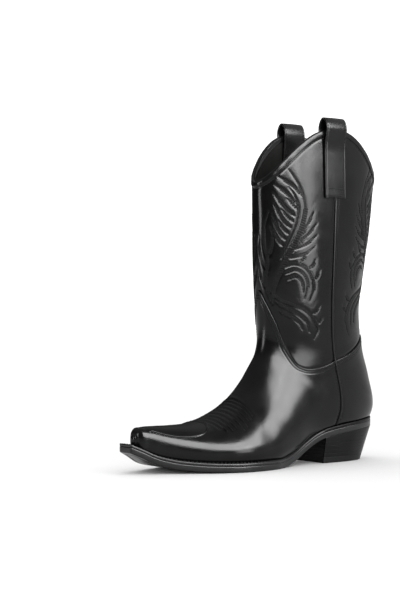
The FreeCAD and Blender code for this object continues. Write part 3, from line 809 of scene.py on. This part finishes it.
# ---- piping and binding
def tube_along(name, uv, height, profile, material, closed=False):
    """Sweeps a small profile, given as (out, sideways) in mm, along a line on the upper."""
    p, n, _, _ = last_frame(*uv.T)
    t = np.roll(p, -1, 0) - np.roll(p, 1, 0) if closed else np.gradient(p, axis=0)
    side = unit(np.cross(n, t))
    centre = p + n * np.reshape(height, (-1, 1))
    rings = [np.array([c + out * a + across * b for a, b in profile])
             for c, out, across in zip(centre, n, side)]
    return sweep(name, rings, material, closed, not closed)


PIPING_PROFILE = [(1.25 * math.cos(a) * 0.95, 1.2 * math.sin(a))
                  for a in np.linspace(0, 2 * math.pi, 15)[:-1]]
for side, node in ((1, "outer_piping"), (-1, "inner_piping")):
    line = seam_line(side, 39.5, 274.0, 360)
    base = last_point(*line.T)
    lap = np.where(above_vamp(base) > 0, 0.0, np.exp(above_vamp(base) / LAP_FADE))
    lap = np.convolve(np.pad(lap, 6, mode="edge"), np.ones(13) / 13, mode="valid")
    fit(tube_along(node + "_roll", line, lap, PIPING_PROFILE, BINDING), node)

BINDING_PROFILE = [(0.05, -4.7), (0.55, -4.6), (0.80, -4.1), (0.88, -2.8), (0.90, -1.2), (0.80, 0.2),
                   (0.45, 0.9), (-0.5, 1.35), (-1.7, 1.5), (-2.9, 1.35), (-3.85, 0.9), (-4.2, 0.2),
                   (-4.3, -1.2), (-4.28, -2.8), (-4.2, -4.1), (-3.9, -4.6), (-3.3, -4.7)]
fit(tube_along("top_binding_roll", RIM_UV[:-1], 0.08 * np.sin(np.arange(len(RIM_UV) - 1) * 0.31),
               BINDING_PROFILE, BINDING, closed=True), "top_binding")


# ---- pull straps
shaft_half = smooth_line([(s[1], s[4]) for s in STATIONS[17:]])
STRAP_SPRINGING = 349.0     # height where the loop starts to arch over
STRAP_STITCH_IN = 1.9       # the stitches' and the pressed line's distance from the edge
STRAP_PITCH = 3.0
STITCH_CROWN_HALF = 8.0     # half width over which the stitches' level falls with the crown


def strap_line(side, count=170):
    """Inner face of a strap loop in front view: up outside the shaft, over, and down inside it."""
    middle = shaft_half(346.0) - WALL / 2
    radius = STRAP_TOP - STRAP_SPRINGING - STRAP_THICK
    lean = 0.62 * radius
    out_leg = [(shaft_half(z) + gap, z) for z, gap in
               ((STRAP_BOTTOM, 0.06), (296.0, 0.06), (316.0, 0.06), (331.0, 0.55))]
    in_leg = [(shaft_half(z) - WALL - gap, z) for z, gap in
              ((331.0, 2.0), (316.0, 1.16), (296.0, 0.76), (STRAP_BOTTOM, 0.56))]
    top = [(middle + lean, STRAP_SPRINGING), (middle, STRAP_SPRINGING + radius),
           (middle - lean, STRAP_SPRINGING)]
    line = spline_through(out_leg + top + in_leg, count)
    return np.stack([side * line[:, 0], np.full(count, STRAP_Y), line[:, 1]], 1)


def strap_frame(side):
    """Points, directions and outward normals along a strap."""
    line = strap_line(side)
    t = unit(np.gradient(line, axis=0))
    return line, t, np.stack([t[:, 2], np.zeros(len(t)), -t[:, 0]], 1) * side


def strap_section(points=9):
    """Slightly crowned cross section as (across, out) pairs, with a pressed line near each edge."""
    half = STRAP_WIDTH / 2
    outer = []
    for w in np.concatenate([np.linspace(-half + 0.5, -half + 4.0, 9),
                             np.linspace(-half + 4.6, half - 4.6, points),
                             np.linspace(half - 4.0, half - 0.5, 9)]):
        groove = bell(abs(w) - half + STRAP_STITCH_IN, 0.28, 0.5)
        crown = 0.22 * (1 - (w / half) ** 2)
        outer.append((w, STRAP_THICK - 0.25 + crown - groove))
    edge = [(half - 0.08, STRAP_THICK - 0.65), (half, STRAP_THICK / 2), (half - 0.1, 0.45),
            (half - 0.6, 0.02)]
    return outer + edge + [(-w, t) for w, t in edge[::-1]]


def strap_rows(line, t, out):
    """Stitches on a strap: a row along each edge and two across the foot of each leg."""
    s = arc_length(line)
    across = np.array([0.0, 1.0, 0.0])
    rows = []

    def at(q, w):
        centre, tangent, normal = (values_at(q, s, rows) for rows in (line, t, out))
        crown = 0.2 * (1 - (w / STITCH_CROWN_HALF) ** 2)
        return centre + across * w + normal * (STRAP_THICK - 0.12 + crown), tangent, normal

    for w in (-STRAP_WIDTH / 2 + STRAP_STITCH_IN, STRAP_WIDTH / 2 - STRAP_STITCH_IN):
        rows += [at(q, w) for q in spaced(s[-1], STRAP_PITCH)]
    for q in (2.2, 9.5, s[-1] - 2.2, s[-1] - 9.5):
        for w in np.arange(-10.5, 10.6, STRAP_PITCH):
            centre, _, normal = at(q, w)
            rows.append((centre, across, normal))
    return [np.array(part) for part in zip(*rows)]


for side, word in ((1, "outer"), (-1, "inner")):
    line, t, out = strap_frame(side)
    centre = STRAP_THICK / 2
    rings = []
    for i, (p, o) in enumerate(zip(line, out)):
        thin, narrow = (1.0, 1.0) if 1 < i < len(line) - 2 else (0.9, 0.985)
        rings.append(np.array([p + o * (centre + (d - centre) * thin) + (0.0, w * narrow, 0.0)
                               for w, d in strap_section()]))
    strap = sweep(word + "_strap_leather", rings, STRAP, caps=True, angle=50)
    threads = thread_capsules(word + "_strap_stitching", *strap_rows(line, t, out), 2.4, 0.26, THREAD)
    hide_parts(word + "_pull_strap", word + "_strap_legs")
    for piece in (strap, threads):
        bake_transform(piece)


# ---- welt and outsole
def sole_ring(inset=0.0, least=0.35, side_count=560, front_count=24):
    """Plan outline of the sole, shrunk by inset, as a closed ring of points."""
    front = SOLE_PLAN[0][0]
    length = SOLE_BACK_Y - front
    outer, inner = [], []
    for y, x_in, x_out in SOLE_PLAN:
        half = (x_out - x_in) / 2
        middle = (x_out + x_in) / 2
        shrink = max(half - inset, least * half)
        y_new = front + inset + (y - front) * (length - 2 * inset) / length
        outer.append((middle + shrink, y_new))
        inner.append((middle - shrink, y_new))
    side = spline_through(outer + [(0.0, SOLE_BACK_Y - inset)] + inner[::-1], side_count)
    left, right = np.array(inner[0]), np.array(outer[0])
    nose = left + (right - left) * np.linspace(0, 1, front_count)[1:-1, None]
    ring = np.vstack([side, nose])
    for _ in range(2):
        ring = (np.roll(ring, 1, 0) + ring * 2 + np.roll(ring, -1, 0)) / 4
    return ring


def edge_ring(inset, dz, least=0.35):
    """Ring round the sole, inset from its edge and dz above the feather line."""
    xy = sole_ring(inset, least)
    return np.column_stack([xy, feather_z(xy[:, 1]) + dz])


def strip(name, profile, keep, material):
    """Part of the sole's rim, of (inset, dz) section; keep selects the stretch round the outline."""
    columns = np.stack([edge_ring(*point) for point in profile], 1)[keep]
    return sweep(name, list(columns), material, caps=True)


WELT_PROFILE = [(12, -2.95), (0.5, -2.95), (0.12, -2.8), (0, -2.5), (0, -0.75), (0.18, -0.28),
                (0.6, -0.04), (1.2, 0), (1.5, -0.08), (1.8, -0.42), (2.2, -0.6), (2.6, -0.42),
                (2.9, -0.08), (3.2, 0), (4.2, 0), (5.6, -0.12), (12, -0.12)]
RAND_PROFILE = [(10, -2.95), (0.4, -2.95), (0.1, -2.85), (0, -2.6), (0, -0.6), (0.15, -0.2),
                (0.5, 0), (1.2, 0), (1.8, -0.15), (10, -0.15)]
outline = sole_ring()
place = np.arange(len(outline))
first_half = place <= len(outline) // 2
on_welt = outline[:, 1] < RAND_Y
order = np.concatenate([place[on_welt & ~first_half], place[on_welt & first_half]])
welt = strip("welt_strip", WELT_PROFILE, order, WELT_LEATHER)
rand = strip("heel_rand_strip", RAND_PROFILE, place[~on_welt], HEEL)
fit(welt, "welt")
fit(rand, "heel_rand")

SOLE_PROFILE = [(12, -3.05), (0.55, -3.05), (0.2, -3.15), (0.05, -3.4), (0, -4), (0, -7.9),
                (0.15, -8.5), (0.55, -8.9), (1.2, -9), (3.6, -9), (3.9, -8.75), (4.3, -8.68),
                (4.7, -8.75), (5, -9), (9, -9), (14, -9)]
# Rings that close the sole's two faces towards the middle: inset and least part of the half width.
SOLE_MIDDLE = [(20, 0.15), (26, 0.05), (36, 0.02), (48, 0.004)]
sole_rings = [edge_ring(inset, -3.05, least) for inset, least in SOLE_MIDDLE[::-1]]
sole_rings += [edge_ring(*point) for point in SOLE_PROFILE]
sole_rings += [edge_ring(inset, -9.0, least) for inset, least in SOLE_MIDDLE]
fit(sweep("outsole_leather", list(np.stack(sole_rings, 1)), SOLE_EDGE, closed=True, angle=60),
    "outsole")


def welt_stitches(pitch=4.1, end_y=-60.0):
    """Lockstitch in the welt's groove, from side to side round the toe."""
    ring = sole_ring(2.2)
    ring = np.roll(ring, -(len(ring) // 2), axis=0)
    p = np.column_stack([ring, feather_z(ring[:, 1]) - 0.05])
    p = p[p[:, 1] < end_y]
    s = arc_length(p)
    q = spaced(s[-1], pitch)
    t = unit(values_at(q + 0.5, s, p) - values_at(q - 0.5, s, p))
    up = unit(np.cross(t, np.cross(np.array([0.0, 0.0, 1.0]), t)))
    return values_at(q, s, p), t, up


fit(thread_capsules("welt_lockstitch", *welt_stitches(), 3.4, 0.6, THREAD, 8),
    "outsole_stitching")


def dome(centre, radius, height, rings=4, sides=16):
    """Low round head, hanging down, as rings of points from rim to crown."""
    x, y, z = centre
    out = []
    for a in math.pi / 2 * np.arange(rings + 1) / rings:
        r = radius * max(math.cos(a), 0.02)
        out.append(np.array([(x + r * math.cos(b), y + r * math.sin(b), z - height * math.sin(a))
                             for b in np.arange(sides) * 2 * math.pi / sides]))
    return out


def join_pieces(name, pieces):
    bpy.ops.object.select_all(action="DESELECT")
    for piece in pieces:
        piece.select_set(True)
    bpy.context.view_layer.objects.active = pieces[0]
    bpy.ops.object.join()
    pieces[0].name = name
    return pieces[0]


PEG_Y = [-84, -76, -68, -60, -52, -44.0]
PEG_INSET = 5.5
plan_in = smooth_line([(r[0], r[1]) for r in SOLE_PLAN])
plan_out = smooth_line([(r[0], r[2]) for r in SOLE_PLAN])
pegs = []
for y in PEG_Y:
    for x in (plan_in(y) + PEG_INSET, plan_out(y) - PEG_INSET):
        pegs.append(sweep("peg", dome((x, y, float(feather_z(y)) - 8.95), 1.1, 0.25), PEG, caps=True))
fit(join_pieces("waist_peg_heads", pegs), "waist_pegs")


# ---- heel
HEEL_FRONT_Y = -37.0
HEEL_BACK_Y = 32.0
HEEL_TILT = 0.434
HEEL_HALF = 26.6
HEEL_HALF_FLARE = 0.050
HEEL_FRONT_LEAN = 0.12
TOP_LIFT = 6.0
HEEL_LIFT = 4.0
HEEL_LIFTS = 4


def heel_ring(z, inset=0.0, count=150, breast=50):
    """D-shaped outline of the heel at height z (a number), with a shallow hollow in the breast."""
    front = HEEL_FRONT_Y + HEEL_FRONT_LEAN * z + inset
    back = HEEL_BACK_Y + HEEL_TILT * z - inset
    half = HEEL_HALF + HEEL_HALF_FLARE * z - inset
    length = back - front
    right = [(half * w, front + length * t) for w, t in
             ((1.0, 0.0), (0.99, 0.33), (0.93, 0.58), (0.72, 0.82), (0.40, 0.955))]
    curve = spline_through(right + [(0.0, back)] + [(-x, y) for x, y in right[::-1]], count)
    s = np.linspace(-1, 1, breast)[1:-1]
    hollow = 1.6 * (1 - s ** 2)
    line = np.column_stack([half * s, front + hollow])
    ring = np.vstack([curve, line])
    ring = (np.roll(ring, 1, 0) + ring * 4 + np.roll(ring, -1, 0)) / 6
    return ring


def level(z, inset=0.0):
    xy = heel_ring(z, inset)
    return np.column_stack([xy, np.full(len(xy), z)])


# Eased edge of a lift: distance from its face and inset.
LIFT_EDGE = [(0.01, 0.16), (0.08, 0.04), (0.2, 0.0)]


def lift_piece(name, node, z0, z1, material):
    edge = LIFT_EDGE + [(0.4, 0.0)]
    rings = [level(z0 + d, inset) for d, inset in edge]
    rings += [level(z1 - d, inset) for d, inset in edge[::-1]]
    fit(sweep(name, rings, material, caps=True, angle=55), node)


lift_piece("top_lift_rubber", "top_lift", 0.0, TOP_LIFT, RUBBER)
for k in range(HEEL_LIFTS):
    z0 = TOP_LIFT + HEEL_LIFT * k
    lift_piece("heel_lift_layer_%d" % (k + 1), "heel_lift_%d" % (k + 1), z0, z0 + HEEL_LIFT, HEEL)


def seat_ring(inset, drop, z0=20.0, z1=45.0):
    """Ring of the wedge just under the outsole: each side line walked up from z0 to the seat."""
    low, high = heel_ring(z0, inset), heel_ring(z1, inset)
    t = np.full(len(low), 0.5)
    for _ in range(12):
        y = low[:, 1] + (high[:, 1] - low[:, 1]) * t
        t = (feather_z(y) - WELT - OUTSOLE - drop - z0) / (z1 - z0)
    return np.column_stack([low + (high - low) * t[:, None], z0 + (z1 - z0) * t])


wedge_z = TOP_LIFT + HEEL_LIFT * HEEL_LIFTS
bottom = [level(wedge_z + d, inset) for d, inset in LIFT_EDGE + [(0.45, 0.0)]]
top = [seat_ring(0.0, 0.3), seat_ring(0.06, 0.12), seat_ring(0.28, 0.02)]
middle = [bottom[-1] + (top[0] - bottom[-1]) * f for f in (0.33, 0.66)]
fit(sweep("heel_wedge", bottom + middle + top, HEEL, caps=True, angle=55), "heel_base")


# ---- pieces that keep their CAD shape
KEPT = {"toe_puff": BOARD, "heel_stiffener": BOARD, "vamp_lining": LINING, "heel_lining": LINING,
        "front_shaft_lining": LINING, "back_shaft_lining": LINING, "insole": INSOLE, "sock_liner": SOCK,
        "steel_shank": STEEL, "cork_filler": CORK, "heel_nails": BRASS}
for node, material in KEPT.items():
    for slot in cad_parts[node].material_slots:
        slot.material = material


# ---- stage, light and camera
def stage_material():
    material, tree, shader, where = node_material("pale_floor")
    tree.links.new(tint(tree, noise(tree, where, 3.0), (0.74, 0.74, 0.74), (0.77, 0.77, 0.77)),
                   shader.inputs["Base Color"])
    shader.inputs["Roughness"].default_value = 0.7
    shader.inputs["Specular IOR Level"].default_value = 0.0
    return material


def add_floor(half=6000.0):
    corners = [(-half, -half, 0), (half, -half, 0), (half, half, 0), (-half, half, 0)]
    floor = add_mesh("floor", corners, [(0, 1, 2, 3)], stage_material())
    return floor


def spared_floor(floor):
    """Light group that keeps the softboxes off the floor, which the white room lights alone."""
    group = bpy.data.collections.new("softbox_targets")
    group.objects.link(floor)
    group.collection_objects[0].light_linking.link_state = "EXCLUDE"
    return group


def add_softbox(name, azimuth, distance, height, size, power, aim=(0.0, -0.08, 0.16)):
    """Rectangular light that spares the floor; azimuth in degrees from +X towards +Y."""
    light = bpy.data.lights.new(name, "AREA")
    light.shape = "RECTANGLE"
    light.size, light.size_y = size
    light.energy = power
    lamp = add_object(name, light)
    a = math.radians(azimuth)
    lamp.location = (distance * math.cos(a), distance * math.sin(a), height)
    lamp.rotation_euler = (Vector(aim) - lamp.location).to_track_quat("-Z", "Y").to_euler()
    lamp.visible_camera = False
    lamp.light_linking.receiver_collection = TARGETS


def lobe(tree, direction, toward, start, end, strength):
    """Soft patch of the sky around one direction."""
    dot = add_node(tree, "ShaderNodeVectorMath", {1: Vector(toward).normalized()}, {0: direction})
    dot.operation = "DOT_PRODUCT"
    values = {"From Min": start, "From Max": end, "To Min": 0.0, "To Max": strength}
    fall = add_node(tree, "ShaderNodeMapRange", values, {"Value": dot.outputs["Value"]})
    fall.interpolation_type = "SMOOTHSTEP"
    return fall.outputs["Result"]


def add_world():
    """White room for the camera and the floor; a mostly dark one as the leather mirrors it."""
    world = bpy.data.worlds.new("studio")
    world.use_nodes = True
    tree = world.node_tree
    where = tree.nodes.new("ShaderNodeTexCoord").outputs["Generated"]
    total, *others = [lobe(tree, where, *patch) for patch in ROOM_LOBES]
    for part in others:
        add = add_node(tree, "ShaderNodeMath", {}, {0: total, 1: part})
        add.operation = "ADD"
        total = add.outputs["Value"]
    room = tree.nodes["Background"]
    room.inputs["Color"].default_value = (1, 1, 1, 1)
    tree.links.new(total, room.inputs["Strength"])
    seen = add_node(tree, "ShaderNodeBackground", {"Color": (1, 1, 1, 1), "Strength": ROOM_WHITE}, {})
    path = tree.nodes.new("ShaderNodeLightPath")
    sources = {"Fac": path.outputs["Is Glossy Ray"], 1: seen.outputs[0], 2: room.outputs[0]}
    mix = add_node(tree, "ShaderNodeMixShader", {}, sources)
    tree.links.new(mix.outputs["Shader"], tree.nodes["World Output"].inputs["Surface"])
    bpy.context.scene.world = world


def add_camera():
    camera = bpy.data.cameras.new("camera")
    camera.lens = 92.3
    camera.sensor_width = 36.0
    camera.shift_y = 0.005
    camera.clip_start = 0.05
    eye = add_object("camera", camera)
    eye.location = (1.2282, -1.1031, 0.167)
    eye.rotation_euler = Vector((-0.7986, 0.6018, 0.0)).to_track_quat("-Z", "Y").to_euler()
    bpy.context.scene.camera = eye


ROOM_WHITE = 1.45
# What the leather mirrors: direction, cosine where the patch starts and where it is full, strength.
# The last one is full in every direction: the dark room's base level.
ROOM_LOBES = [((0.30, 0.95, 0.05), 0.35, 0.95, 0.8), ((0.0, 0.0, 1.0), 0.2, 1.0, 0.4),
              ((0.0, 0.0, 1.0), -2.0, -1.0, 0.05)]
TARGETS = spared_floor(add_floor())
# Azimuth, distance, height, size and power.
add_softbox("strip_softbox", 8.5, 2.0, 0.48, (0.72, 1.04), 26.0)
add_softbox("high_softbox", 23.5, 1.8, 1.17, (1.15, 1.15), 96.0)
add_softbox("low_softbox", -16.0, 1.7, 1.06, (1.3, 1.12), 115.0)
add_softbox("front_strip", -104.0, 2.0, 0.42, (0.45, 0.8), 12.0)
add_world()
add_camera()
bpy.context.scene.view_settings.view_transform = "Standard"
